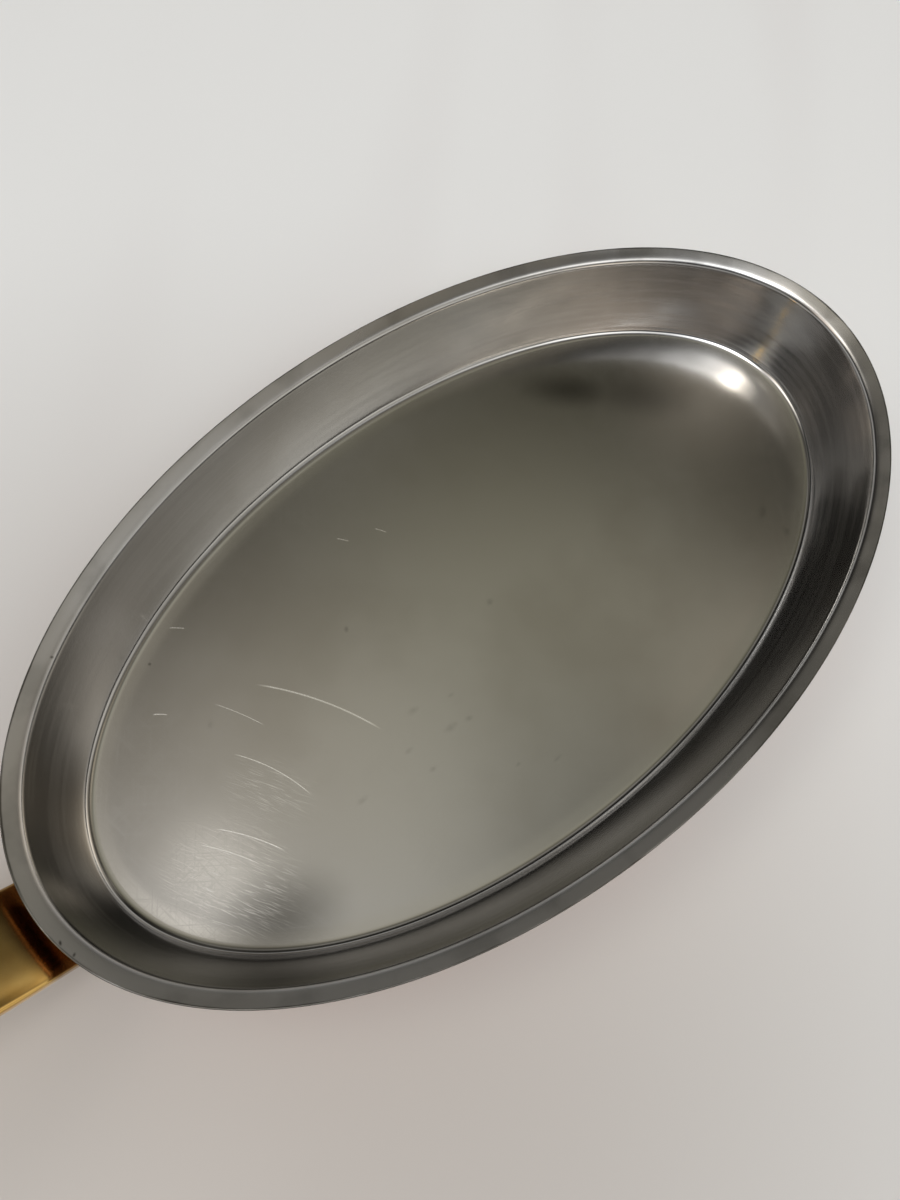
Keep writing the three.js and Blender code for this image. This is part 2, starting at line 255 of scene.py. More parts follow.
def sheet_outline(depth):
    """The outline moved into the sheet along its own normal, and where it meets the upright cut at the rim.

    It keeps a point wherever the distance gone over the longest step, plus the turn over the sharpest
    turn, has grown by 1, and every point close to the rim.
    """
    line = cooking_outline()
    run = np.gradient(line, axis=0)
    run /= np.linalg.norm(run, axis=1)[:, None]
    inward = np.stack([-run[:, 1], run[:, 0]], 1)
    longest = np.where(line[1:, 0] > HALF_WIDTH - RIM_ZONE, OUTLINE_STEP, LONGEST_STEP)
    gone = np.linalg.norm(np.diff(line, axis=0), axis=1) / longest
    heading = np.unwrap(np.arctan2(run[:, 1], run[:, 0]))
    turned = np.abs(np.diff(heading)) / np.radians(SHARPEST_TURN)
    grown = np.r_[0, np.cumsum(gone + turned)]
    kept = np.unique(np.r_[np.searchsorted(grown, np.arange(0, grown[-1])), len(line) - 1])
    moved = (line + inward * depth)[kept]
    inside = moved[moved[:, 0] < HALF_WIDTH - EDGE_ZONE]
    edge_height = RIM_HEIGHT - depth / np.cos(np.radians(LIP_SLOPE))
    return inside, np.array([HALF_WIDTH, edge_height])


def edge_corner(corner, radius, side, steps=7):
    """The corner at the cut edge, rounded where radius is not zero: side is 1 at the top and -1 below."""
    if radius == 0:
        return corner[None, :]
    inner = corner - np.array([1.0, LIP_GRADE])
    upright = corner - np.array([0.0, side])
    points = bend(inner, corner, upright, radius, steps)
    return points if side < 0 else points[::-1]


def layer_rows(top, bottom, round_top, round_bottom):
    """Closed outline of a layer between two depths: underside from the middle out, cut edge, and top side
    back in."""
    over, over_edge = sheet_outline(top)
    under, under_edge = sheet_outline(bottom)
    lower = edge_corner(under_edge, round_bottom, -1)
    upper = edge_corner(over_edge, round_top, 1)
    return np.vstack([under[::-1], lower, upper, over])


def oval_skin(name, outline, material, around=400, floor_rows=10):
    """A layer turned into an oval: a point at radius r goes to ((r + stretch) cos t, r sin t).

    The flat floor is filled by shrinking its outer oval evenly to the middle.
    """
    side = np.stack([outline[:, 0] + STRETCH, outline[:, 0], outline[:, 1]], 1)
    first, last = side[0], side[-1]
    shrink = np.linspace(0, 1, floor_rows + 2)[1:-1, None]
    low = np.hstack([shrink * first[:2], np.full_like(shrink, first[2])])
    high = np.hstack([shrink * last[:2], np.full_like(shrink, last[2])])[::-1]
    rows = np.vstack([low, side, high])
    turn = np.linspace(0, 2 * np.pi, around, endpoint=False)
    grid = np.stack([rows[:, :1] * np.cos(turn), rows[:, 1:2] * np.sin(turn), rows[:, 2:] + 0 * turn], -1)
    poles = np.array([[0, 0, first[2]], [0, 0, last[2]]])
    points = np.vstack([grid.reshape(-1, 3), poles])
    return mesh_piece(name, points, *capped_faces(len(rows), around), material)


# Handle.

def smoothstep(value, low, high):
    """0 below low, 1 above high, and 3t^2 - 2t^3 between them."""
    t = np.clip((value - low) / (high - low), 0, 1)
    return t * t * (3 - 2 * t)


def mix(a, b, t):
    return a + (b - a) * t


def handle_line(count=4001):
    """Points of the handle's centreline, a cubic Bezier curve, and how far along it each lies."""
    start = np.array([-HALF_LENGTH, 0, RIM_HEIGHT - HANDLE_BELOW_RIM])
    tip = start + [-HANDLE_REACH, 0, HANDLE_RISE]
    climb, tip_climb = np.radians([HANDLE_CLIMB, HANDLE_TIP_CLIMB])
    pulled = start + ROOT_PULL * np.array([-np.cos(climb), 0, np.sin(climb)])
    drawn = tip - TIP_PULL * np.array([-np.cos(tip_climb), 0, np.sin(tip_climb)])
    t = np.linspace(0, 1, count)[:, None]
    curve = (1 - t) ** 3 * start + 3 * (1 - t) ** 2 * t * pulled
    curve += 3 * (1 - t) * t ** 2 * drawn + t ** 3 * tip
    return curve, np.r_[0, np.cumsum(np.linalg.norm(np.diff(curve, axis=0), axis=1))]


CURVE, TRAVELLED = handle_line()
HANDLE_LENGTH = TRAVELLED[-1]
HEADINGS = np.gradient(CURVE, axis=0)
HEADINGS /= np.linalg.norm(HEADINGS, axis=1)[:, None]
TIP_RADIUS = END_WIDTH / 2
TIP_START = HANDLE_LENGTH - TIP_RADIUS
HOLE_AT = HANDLE_LENGTH - HOLE_FROM_TIP
HOLE_STRAIGHT = (HOLE_LENGTH - HOLE_WIDTH) / 2


def beside_line(along, across, up):
    """Points so far along the centreline, so far across it and so far up from it. It runs on straight
    below 0."""
    place = [np.interp(along, TRAVELLED, CURVE[:, k]) for k in (0, 2)]
    x_run, z_run = (np.interp(along, TRAVELLED, HEADINGS[:, k]) for k in (0, 2))
    early = np.minimum(along, 0)
    x = place[0] + x_run * early + z_run * up
    z = place[1] + z_run * early - x_run * up
    return np.stack([x, across + 0 * x, z + 0 * across], -1)


def handle_width(along):
    narrowed = mix(ROOT_WIDTH, WAIST_WIDTH, smoothstep(along, TAPER_FROM, WAIST_AT))
    return mix(narrowed, END_WIDTH, smoothstep(along, WAIST_AT, HANDLE_LENGTH - END_FROM_TIP))


def squareness(along):
    return mix(ROOT_SQUARENESS, GRIP_SQUARENESS, smoothstep(along, 0, GRIP_FROM))


def bar_height(along, across, side):
    """How far the handle's top (side 1) or underside (side -1) lies from the plane of its edges.

    It is the crown or keel times (1 - q^n)^(1/n), where q is the share of the way out to the edge, from
    the centreline or, past the tip's start, from the middle of the round tip. Beside the hanging hole it
    is also times sqrt(1 - (1 - d)^2), where d is the distance from the hole over its edge's rounding.
    """
    past = np.maximum(along - TIP_START, 0)
    half = np.where(past > 0, TIP_RADIUS, handle_width(along) / 2)
    q = np.clip(np.hypot(past, across) / half, 0, 1)
    power = squareness(along)
    share = (1 - q ** power) ** (1 / power)
    beside = np.maximum(np.abs(along - HOLE_AT) - HOLE_STRAIGHT, 0)
    d = np.clip((np.hypot(beside, across) - HOLE_WIDTH / 2) / HOLE_ROUNDING, 0, 1)
    grip = smoothstep(along, 0, GRIP_FROM)
    height = mix(ROOT_CROWN, GRIP_CROWN, grip) if side > 0 else mix(ROOT_KEEL, GRIP_KEEL, grip)
    return side * height * share * np.sqrt(1 - (1 - d) ** 2)


def across_at(along, angle):
    """How far across the handle a superellipse's point at a polar angle lies: the half width times
    cos a (|cos a|^n + |sin a|^n)^(-1/n)."""
    power = squareness(along)
    out = (np.abs(np.cos(angle)) ** power + np.abs(np.sin(angle)) ** power) ** (-1 / power)
    return np.cos(angle) * out * handle_width(along) / 2


def wall_radius(height, off):
    """Radius, on the pan's narrow side, of the outside of the wall at a height, moved out by a distance."""
    far = 6.0
    lines = [sheet_outline(SHEET + depth)[0][::-1] for depth in (0, far)]
    sizes = [np.interp(height, line[:, 1], line[:, 0]) for line in lines]
    return mix(*sizes, off / far)


def wall_point(across, height, off):
    """The point of the wall's outside at the handle's end, moved out level, which lies at
    x = -(r + stretch) sqrt(1 - (y / r)^2)."""
    radius = wall_radius(height, off)
    x = -(radius + STRETCH) * np.sqrt(1 - (across / radius) ** 2)
    return np.stack([x, across + 0 * x, height + 0 * x], -1)


def off_wall(points):
    """How far points at the handle's end stand off the wall, level and along X, times the cosine of its
    lean."""
    wall = wall_point(points[..., 1], points[..., 2], 0 * points[..., 2])
    return (wall[..., 0] - points[..., 0]) * np.cos(WALL_LEAN)


# The studs stand square to the solid model's straight wall, from the collar to the floor.
WALL_DROP = PAN_DEPTH - LIP_INSET * LIP_GRADE - COLLAR_HEIGHT
WALL_RUN = FLOOR_INSET - LIP_INSET - COLLAR_HEIGHT * np.tan(np.radians(COLLAR_LEAN))
WALL_LEAN = np.arctan2(WALL_RUN, WALL_DROP)


def section_normals(across, up):
    """Outward directions in each ring's own plane: the way round the ring, turned a quarter outwards."""
    run = np.roll(across, -1, 1) - np.roll(across, 1, 1)
    rise = np.roll(up, -1, 1) - np.roll(up, 1, 1)
    size = np.hypot(run, rise)
    return rise / size, -run / size


def bar_lines(cut, angle, rows=170, crowding=1.6, tries=12, first_guess=-6.0):
    """The handle from its foot to the cut before the hanging hole, as lengthwise lines.

    Each line runs at a fixed polar angle of the superellipse and starts a little under the foot's face,
    at a place that is found in a few tries. Its points crowd towards the foot by a power of their number.
    Near the foot it flares outwards by R - sqrt(R^2 - (R - x)^2), a quarter round of radius R at the
    distance x from the foot's face.
    """
    top = np.sin(angle) > -TINY

    def section(along):
        heights = [bar_height(along, across_at(along, angle), side) for side in (1, -1)]
        return across_at(along, angle), np.where(top, *heights)

    start = np.full_like(angle, first_guess)
    lean = np.cos(np.radians(HANDLE_CLIMB) + WALL_LEAN)
    for _ in range(tries):
        start -= (off_wall(beside_line(start, *section(start))) - FOOT_FACE + BAR_SUNK) / lean
    t = np.linspace(0, 1, rows)[:, None]
    along = mix(start, cut, t ** crowding)
    across, up = section(along)
    under_share = smoothstep(-np.sin(angle), 0.5, 1)
    top_share = smoothstep(np.sin(angle), 0, 0.8)
    radius = mix(SIDE_FLARE, UNDER_FLARE, under_share) * mix(1, TOP_FLARE_SHARE, top_share)
    x = np.clip(off_wall(beside_line(along, across, up)) - FOOT_FACE, 0, radius)
    flare = radius - np.sqrt(radius ** 2 - (radius - x) ** 2)
    out_across, out_up = section_normals(across, up)
    return beside_line(along, across + out_across * flare, up + out_up * flare)


def eye_outlines(cut, half, side_points=14, tip_points=70):
    """Matching points of the hanging hole's outline and of the handle's outline round it, as places
    along and across. A ray from the hole's middle to each outer point meets the hole where either its
    straight side or its round end is."""
    angle = np.linspace(0, np.pi, half + 1)
    cut_across = across_at(np.full_like(angle, cut), angle)
    side = np.linspace(cut, TIP_START, side_points)[1:]
    half_width = handle_width(side) / 2
    swing = np.linspace(0, np.pi, tip_points)[1:-1]
    outer = np.stack([
        np.r_[np.full_like(angle, cut), side, TIP_START + TIP_RADIUS * np.sin(swing), side[::-1]],
        np.r_[cut_across, -half_width, -TIP_RADIUS * np.cos(swing), half_width[::-1]],
    ], 1)
    ray = outer - [HOLE_AT, 0]
    ray /= np.linalg.norm(ray, axis=1)[:, None]
    radius = HOLE_WIDTH / 2
    straight = radius / np.maximum(np.abs(ray[:, 1]), TINY)
    over = np.maximum(radius ** 2 - (HOLE_STRAIGHT * ray[:, 1]) ** 2, 0)
    rounded = HOLE_STRAIGHT * np.abs(ray[:, 0]) + np.sqrt(over)
    reach = np.where(straight * np.abs(ray[:, 0]) <= HOLE_STRAIGHT, straight, rounded)
    return [HOLE_AT, 0] + ray * reach[:, None], outer


def handle_bar(material, half=48, cut_margin=6.0, ring_steps=26):
    """The cast bar in one skin: lengthwise lines up to the hanging hole, then rings that lie
    (1 - cos(pi k / n)) / 2 of the way from the hole's outline to the handle's, above and below."""
    cut = HOLE_AT - HOLE_LENGTH / 2 - cut_margin
    angle = np.linspace(0, 2 * np.pi, 2 * half, endpoint=False)[None, :]
    lines = bar_lines(cut, angle)
    rows, sides = lines.shape[:2]
    points = [lines.reshape(-1, 3), lines[:1].mean(1)]
    quads = [ring_faces(rows, sides)]
    first = rows * sides + 1
    hole, outer = eye_outlines(cut, half)
    t = (1 - np.cos(np.linspace(0, np.pi, ring_steps)))[:, None, None] / 2
    flat = mix(hole, outer, t)
    for side in (1, -1):
        sheet = beside_line(flat[..., 0], flat[..., 1], bar_height(flat[..., 0], flat[..., 1], side))
        points.append(sheet.reshape(-1, 3))
        quads.append(ring_faces(ring_steps, len(outer), first))
        first += ring_steps * len(outer)
    start_cap = cap_faces(rows * sides, 0, sides, True)
    bar = mesh_piece("brass_handle_surface", np.vstack(points), np.vstack(quads), start_cap, material)
    close_up(bar)
    return bar


def close_up(piece):
    """Merges points that lie on each other and turns all faces outwards."""
    skin = bmesh.new()
    skin.from_mesh(piece.data)
    bmesh.ops.remove_doubles(skin, verts=skin.verts, dist=MERGE_DISTANCE * MM)
    bmesh.ops.recalc_face_normals(skin, faces=skin.faces)
    skin.to_mesh(piece.data)
    skin.free()


def foot_outline(inset, corner_points=9, side_points=14):
    """A rounded rectangle in Y and Z, moved inwards, with points along its corners and its sides."""
    radius = FOOT_CORNER_RADIUS - inset
    side = ROOT_WIDTH / 2 + FOOT_FLARE - FOOT_CORNER_RADIUS
    low = STUD_HEIGHT - FOOT_BELOW_STUDS + FOOT_CORNER_RADIUS
    high = STUD_HEIGHT + FOOT_ABOVE_STUDS - FOOT_CORNER_RADIUS
    corners = [(side, low, -90), (side, high, 0), (-side, high, 90), (-side, low, 180)]
    parts = []
    for y, z, first in corners:
        swing = np.radians(np.linspace(first, first + 90, corner_points))
        parts.append(np.stack([y + radius * np.cos(swing), z + radius * np.sin(swing)], 1))
    t = np.linspace(0, 1, side_points)[1:-1, None]
    following = parts[1:] + parts[:1]
    joined = [np.vstack([part, mix(part[-1], after[0], t)]) for part, after in zip(parts, following)]
    return np.vstack(joined)


def foot_plate(material, inner_rows=12, round_steps=7):
    """The foot against the wall: rows from the middle of its back out to its outline, up its side, round
    its edge by the radius times (1 - cos a, sin a), and across its face to the middle."""
    middle = foot_outline(FOOT_EDGE_RADIUS).mean(0)
    shrink = np.linspace(0, 1, inner_rows + 1)[1:-1]
    swing = np.linspace(0, np.pi / 2, round_steps)
    insets = FOOT_EDGE_RADIUS * (1 - np.cos(swing))
    heights = FOOT_FACE - FOOT_EDGE_RADIUS * (1 - np.sin(swing))
    back, face = foot_outline(0), foot_outline(FOOT_EDGE_RADIUS)
    rows = [(middle + (back - middle) * k, SEAT_GAP) for k in shrink]
    rows += [(back, SEAT_GAP)]
    rows += [(foot_outline(inset), height) for inset, height in zip(insets, heights)]
    rows += [(middle + (face - middle) * k, FOOT_FACE) for k in shrink[::-1]]
    grid = np.stack([wall_point(row[:, 0], row[:, 1], np.full(len(row), height)) for row, height in rows])
    poles = np.stack([wall_point(*middle, np.array(height)) for height in (SEAT_GAP, FOOT_FACE)])
    points = np.vstack([grid.reshape(-1, 3), poles])
    plate = mesh_piece("foot_plate", points, *capped_faces(*grid.shape[:2]), material)
    close_up(plate)
    return plate


# Fastenings on the studs' axes, which stand square to the wall.

def on_stud(radius, distance, around, side):
    """Points at a radius round a stud's axis and a distance from the wall along it."""
    out = np.array([-np.cos(WALL_LEAN), 0, -np.sin(WALL_LEAN)])
    level = np.array([0.0, 1, 0])
    third = np.cross(out, level)
    foot = wall_point(0.0, STUD_HEIGHT, np.array(0.0)) + [0, side * STUD_SPACING / 2, 0]
    turn = np.linspace(0, 2 * np.pi, around, endpoint=False)
    spokes = np.cos(turn)[:, None] * level + np.sin(turn)[:, None] * third
    radius = np.broadcast_to(radius, (len(distance), around))[..., None]
    return foot + out * np.reshape(distance, (-1, 1, 1)) + spokes * radius


def turned_piece(name, radius, distance, side, material, around=ROUND_SEGMENTS):
    """A closed skin round a stud's axis from rows of radii and distances, with a pole at each end."""
    rows = on_stud(radius, distance, around, side)
    points = np.vstack([rows.reshape(-1, 3), rows[[0, -1]].mean(1)])
    piece = mesh_piece(name, points, *capped_faces(len(rows), around), material)
    close_up(piece)
    return piece


def cap_nut(name, side, material, chamfer_steps=6, dome_steps=14):
    """A bored hexagon with a dome. Its radius is the smaller of the hexagon's, which is the half width
    over cos of the angle from the nearest flat's middle, and of the chamfer."""
    turn = np.linspace(0, 2 * np.pi, ROUND_SEGMENTS, endpoint=False)
    flat = NUT_ACROSS_FLATS / 2
    hexagon = flat / np.cos(np.abs((turn + np.pi / 6) % (np.pi / 3) - np.pi / 6))
    chamfer = np.linspace(0, 1, chamfer_steps)
    rise = (NUT_CORNER_RADIUS - flat) * np.tan(np.radians(NUT_CHAMFER_ANGLE)) * chamfer
    dome = flat - NUT_SHOULDER
    swing = np.linspace(0, np.pi / 2, dome_steps)[:-1]
    limit = np.r_[BORE_RADIUS, BORE_RADIUS, mix(flat, NUT_CORNER_RADIUS, chamfer),
                  mix(NUT_CORNER_RADIUS, flat, chamfer), dome * np.cos(swing)]
    distance = np.r_[STUD_END + SEAT_GAP, NUT_FROM, NUT_FROM + rise,
                     NUT_HEX_END - rise[::-1], NUT_HEX_END + dome * np.sin(swing)]
    return turned_piece(name, np.minimum(hexagon[None, :], limit[:, None]), distance, side, material)


def washer(name, side, material, corner_points=5):
    """A flat ring with rounded edges: its last row of points lies on its first, so that it closes on
    itself."""
    edge = WASHER_EDGE_RADIUS
    outer, inner = WASHER_RADIUS - edge, BORE_RADIUS + edge
    near, far = WASHER_FROM + edge, WASHER_END - edge
    corners = [(outer, near, -90), (outer, far, 0), (inner, far, 90), (inner, near, 180)]
    swing = np.linspace(0, np.pi / 2, corner_points)
    radius = np.concatenate([r + edge * np.cos(swing + np.radians(first)) for r, _, first in corners])
    distance = np.concatenate([d + edge * np.sin(swing + np.radians(first)) for _, d, first in corners])
    rows = on_stud(np.r_[radius, radius[:1]][:, None], np.r_[distance, distance[:1]], ROUND_SEGMENTS, side)
    piece = mesh_piece(name, rows.reshape(-1, 3), ring_faces(*rows.shape[:2]), NO_TRIANGLES, material)
    close_up(piece)
    return piece


def cutter(radius, start, end, side):
    """A cylinder on a stud's axis, which cuts a piece and is then removed."""
    radii = np.full((2, 1), radius)
    return turned_piece("cutter", radii, np.array([start, end]), side, None, CUTTER_SEGMENTS)


def combine(piece, other, operation):
    """Joins or cuts a piece by another, which is then removed."""
    change = piece.modifiers.new(operation, "BOOLEAN")
    change.operation = operation
    change.solver = "EXACT"
    change.object = other
    bpy.context.view_layer.update()
    shaped = bpy.data.meshes.new_from_object(piece.evaluated_get(bpy.context.evaluated_depsgraph_get()))
    piece.modifiers.clear()
    piece.data = shaped
    bpy.data.objects.remove(other)


def handle(material):
    """Bar and foot as one casting, with a flat seat for each washer and a hole for each stud."""
    piece = handle_bar(material)
    plate = foot_plate(material)
    reach = NUT_HEX_END + NUT_ACROSS_FLATS / 2
    for side in (1, -1):
        seat = cutter(WASHER_RADIUS + SEAT_GAP, WASHER_SEAT, reach, side)
        combine(plate, seat, "DIFFERENCE")
        bore = cutter(BORE_RADIUS, -BORE_STARTS_BEHIND, WASHER_SEAT + BORE_ENDS_PAST, side)
        combine(plate, bore, "DIFFERENCE")
    combine(piece, plate, "UNION")
    piece.data.polygons.foreach_set("use_smooth", np.ones(len(piece.data.polygons), bool))
    piece.data.set_sharp_from_angle(angle=np.radians(SHARP_ANGLE))
    return piece


# Materials.

SOFT = {"interpolation_type": "SMOOTHSTEP"}
ENDLESS = 1e6


def linear(code):
    """An sRGB hex colour as linear red, green, blue and alpha."""
    channels = np.array([int(code[k:k + 2], 16) for k in (1, 3, 5)]) / 255
    low = channels / 12.92
    high = ((channels + 0.055) / 1.055) ** 2.4
    return (*np.where(channels <= 0.04045, low, high).tolist(), 1.0)


def add(tree, kind, inputs=(), output=0, **settings):
    """Adds a node with its own settings, and with values or links for its sockets, and gives one of its
    outputs."""
    node = tree.nodes.new("ShaderNode" + kind)
    for name, value in settings.items():
        setattr(node, name, value)
    for socket, value in (inputs if isinstance(inputs, dict) else dict(enumerate(inputs))).items():
        if isinstance(value, bpy.types.NodeSocket):
            tree.links.new(value, node.inputs[socket])
        else:
            node.inputs[socket].default_value = value
    return node.outputs[output] if node.outputs else None


def new_material(name):
    material = bpy.data.materials.new(name)
    material.use_nodes = True
    material.node_tree.nodes.clear()
    return material, material.node_tree


def in_millimetres(tree):
    """Object coordinates in millimetres, which are the pan's own axes, and the height among them."""
    where = add(tree, "TexCoord", output="Object")
    where = add(tree, "VectorMath", {0: where, "Scale": 1000.0}, operation="SCALE")
    return where, add(tree, "SeparateXYZ", (where,), 2)


def streaks(tree, where, lengths, low, high, turn=0.0, shift=0.0, detail=0.0):
    """The peaks, from low to high, of noise whose waves are so many millimetres long along X, Y and Z,
    which are first turned by so many degrees about Z."""
    turning = (0.0, 0.0, np.radians(turn))
    placing = {"Vector": where, "Location": (shift, shift, 0.0), "Rotation": turning, "Scale": lengths}
    placed = add(tree, "Mapping", placing, vector_type="TEXTURE")
    waves = add(tree, "TexNoise", {"Vector": placed, "Scale": 1.0, "Detail": detail})
    return add(tree, "MapRange", (waves, low, high), **SOFT)


def strongest(tree, masks):
    """The largest of several masks at each place."""
    total = masks[0]
    for mask in masks[1:]:
        total = add(tree, "Math", (total, mask), operation="MAXIMUM")
    return total


def hairlines(tree, where, turns, width, length, low, high):
    """Fine straight lines in each of the turns, as long streaks of the given width and length."""
    sizes = (length, width, length)
    ways = [streaks(tree, where, sizes, low, high, turn, 17.0 * k) for k, turn in enumerate(turns)]
    return strongest(tree, ways)


def scratch(tree, where, start, end, sag, width):
    """One long scratch: a parabola of the given sag between two places on the pan's floor. The mask falls
    from 1 to 0 as |across - 4 sag u (1 - u)| nears the width, with u the share of the way along, and it
    fades at both ends."""
    run = np.subtract(end, start)
    turning = (0.0, 0.0, np.arctan2(run[1], run[0]))
    sizes = (np.hypot(*run), 1.0, 1.0)
    placing = {"Vector": where, "Location": (*start, 0.0), "Rotation": turning, "Scale": sizes}
    placed = add(tree, "Mapping", placing, vector_type="TEXTURE")
    gone = add(tree, "SeparateXYZ", (placed,))
    across = add(tree, "SeparateXYZ", (placed,), 1)
    rest = add(tree, "Math", (1.0, gone), operation="SUBTRACT")
    share = add(tree, "Math", (gone, rest), operation="MULTIPLY")
    off = add(tree, "Math", (share, -4 * sag, across), operation="MULTIPLY_ADD")
    off = add(tree, "Math", (off,), operation="ABSOLUTE")
    line = add(tree, "MapRange", (off, width, 0.2 * width), **SOFT)
    ends = add(tree, "MapRange", (share, 0.0, 0.12), **SOFT)
    return add(tree, "Math", (line, ends), operation="MULTIPLY")


def spot(tree, where, middle, size, turn=0.0, strength=1.0):
    """A soft-edged oval of the given half sizes, as strong as given in its middle."""
    turning = (0.0, 0.0, np.radians(turn))
    sizes = (*size, ENDLESS)
    placing = {"Vector": where, "Location": (*middle, 0.0), "Rotation": turning, "Scale": sizes}
    placed = add(tree, "Mapping", placing, vector_type="TEXTURE")
    reach = add(tree, "VectorMath", (placed,), "Value", operation="LENGTH")
    return add(tree, "MapRange", (reach, 1.0, 0.0, 0.0, strength), **SOFT)


def beyond(tree, where):
    """How far out a place lies from the pan's middle in plan: 1 on the rim's oval and more past it."""
    shares = add(tree, "VectorMath", (where, (1 / HALF_LENGTH, 1 / HALF_WIDTH, 0.0)), operation="MULTIPLY")
    return add(tree, "VectorMath", (shares,), "Value", operation="LENGTH")


def metal(tree, color, roughness, height=None, depth=0.0):
    """A metal on the output. Its height, from 0 to 1, becomes a bump of the given depth in millimetres."""
    inputs = {"Base Color": color, "Metallic": 1.0, "Roughness": roughness}
    if height is not None:
        inputs["Normal"] = add(tree, "Bump", {"Height": height, "Distance": depth * MM, "Strength": 1.0})
    add(tree, "OutputMaterial", (add(tree, "BsdfPrincipled", inputs),))


# Places on the floor that hold the pan's longest scratches, as start, end, sag and half width.
LONG_SCRATCHES = [
    ((-95.0, 28.5), (-70.6, -15.2), 2.6, 0.46),
    ((-116.5, 13.0), (-104.6, -17.0), 2.0, 0.24),
    ((-110.5, 32.0), (-101.5, 13.5), 0.5, 0.18),
    ((-136.5, -4.0), (-123.0, -26.0), 1.0, 0.24),
    ((-143.5, -5.0), (-132.0, -24.0), 0.7, 0.20),
    ((-105.5, 66.0), (-101.0, 62.0), 0.2, 0.30),
    ((-129.0, 42.3), (-125.0, 38.8), 0.2, 0.28),
    ((-33.8, 56.2), (-30.6, 52.0), 0.1, 0.32),
    ((-19.2, 50.2), (-16.4, 45.6), 0.1, 0.32),
]
# Places on the floor with many short scratches, as middle, half sizes, turn in degrees and strength.
WORN_PLACES = [
    ((-142.0, -20.0), (34.0, 26.0), -60, 1.0),
    ((-114.0, -6.0), (26.0, 17.0), -60, 0.6),
]
# Stains on the floor, in the same form.
STAINS = [
    ((-118.8, 58.7), (0.9, 0.9), 0, 0.9),
    ((-55.5, 23.7), (2.0, 1.3), 50, 0.30),
    ((-5.3, -3.0), (2.4, 1.8), 10, 0.30),
    ((114.2, -47.4), (4.8, 2.4), 28, 0.30),
    ((115.0, -60.5), (3.2, 2.2), 20, 0.20),
    ((-115.8, 26.2), (2.8, 1.8), 60, 0.14),
    ((-92.5, -29.7), (3.4, 1.6), 0, 0.16),
    ((-57.5, -16.8), (3.6, 2.0), -4, 0.16),
    ((-51.0, -30.5), (4.2, 2.0), -6, 0.20),
    ((-43.6, -32.3), (2.6, 1.4), -6, 0.20),
    ((-66.3, -37.7), (2.4, 1.4), 0, 0.16),
    ((-68.5, -27.1), (2.6, 1.4), 0, 0.16),
    ((-42.7, -21.4), (2.2, 1.2), 0, 0.14),
    ((-41.7, -56.8), (1.6, 1.0), 0, 0.20),
    ((-29.0, -64.7), (3.0, 1.0), 0, 0.16),
]
# Broad dull patches on the floor, in the same form. The last is no patch but a painted dark reflection on
# the floor at the handle's end.
DULL_PATCHES_AND_DARK_REFLECTION = [
    ((93.3, 48.8), (30.0, 13.0), -40, 0.6),
    ((118.0, 27.0), (36.0, 18.0), -44, 0.45),
    ((-139.0, -42.0), (30.0, 20.0), -18, 0.62),
]
# Nicks on the lip, in the same form.
NICKS = [
    ((-187.9, -9.7), (1.2, 0.6), 70, 0.9),
    ((-186.8, -14.9), (1.0, 0.6), 40, 0.8),
    ((-143.0, 66.1), (0.8, 0.7), 0, 0.8),
]


def floor_scratches(tree, where, flat):
    """Short and long scratches on the floor. Cleaning runs mostly one way, across the handle's end."""
    worn = strongest(tree, [spot(tree, where, *place) for place in WORN_PLACES])
    share = add(tree, "MapRange", (worn, 0.0, 0.7, 0.03, 1.0), **SOFT)
    share = add(tree, "Math", (share, flat), operation="MULTIPLY")
    # Scratches 0.1 mm wide are drawn about twice as wide, as the picture can't show them finer.
    short = hairlines(tree, where, (-68, -60, -64), 0.26, 7.0, 0.655, 0.80)
    short = add(tree, "Math", (short, share), operation="MULTIPLY")
    long_lines = strongest(tree, [scratch(tree, where, *line) for line in LONG_SCRATCHES])
    return add(tree, "Math", (short, 0.5, long_lines), operation="MULTIPLY_ADD")


def darker_steel(tree, where, flat, lip):
    """Stains, dull patches and a painted dark reflection on the floor, nicks and rubbed places on the lip,
    and the rim's dark cut edge."""
    grain = add(tree, "TexNoise", {"Vector": where, "Scale": 0.55, "Detail": 3.0})
    grain = add(tree, "MapRange", (grain, 0.35, 0.65, 0.55, 1.0), **SOFT)
    stains_and_reflection = strongest(tree, [spot(tree, where, *stain) for stain in STAINS])
    stains_and_reflection = add(tree, "Math", (stains_and_reflection, grain), operation="MULTIPLY")
    # Painted dark reflection: the last of the dull patches darkens the floor as a dark thing above it
    # would.
    dull_and_reflected = strongest(tree, [spot(tree, where, *patch) for patch in DULL_PATCHES_AND_DARK_REFLECTION])
    stains_and_reflection = add(tree, "Math", (strongest(tree, [stains_and_reflection, dull_and_reflected]), flat), operation="MULTIPLY")

    # The rim's edge is drawn darker, unevenly, over 0.5 to 1.3 mm.
    rim_noise = add(tree, "TexNoise", {"Vector": where, "Scale": 0.05, "Detail": 4.0})
    edge = add(tree, "Math", (rim_noise, 0.008, beyond(tree, where)), operation="MULTIPLY_ADD")
    cut = add(tree, "MapRange", (edge, 0.9985, 1.0020, 0.0, 0.9), **SOFT)
    rubbed = add(tree, "MapRange", (rim_noise, 0.5, 0.68, 0.0, 0.2), **SOFT)
    nicked = strongest(tree, [spot(tree, where, *nick) for nick in NICKS])
    rubbed = add(tree, "Math", (strongest(tree, [rubbed, nicked]), lip), operation="MULTIPLY")
    return strongest(tree, [stains_and_reflection, cut, rubbed])


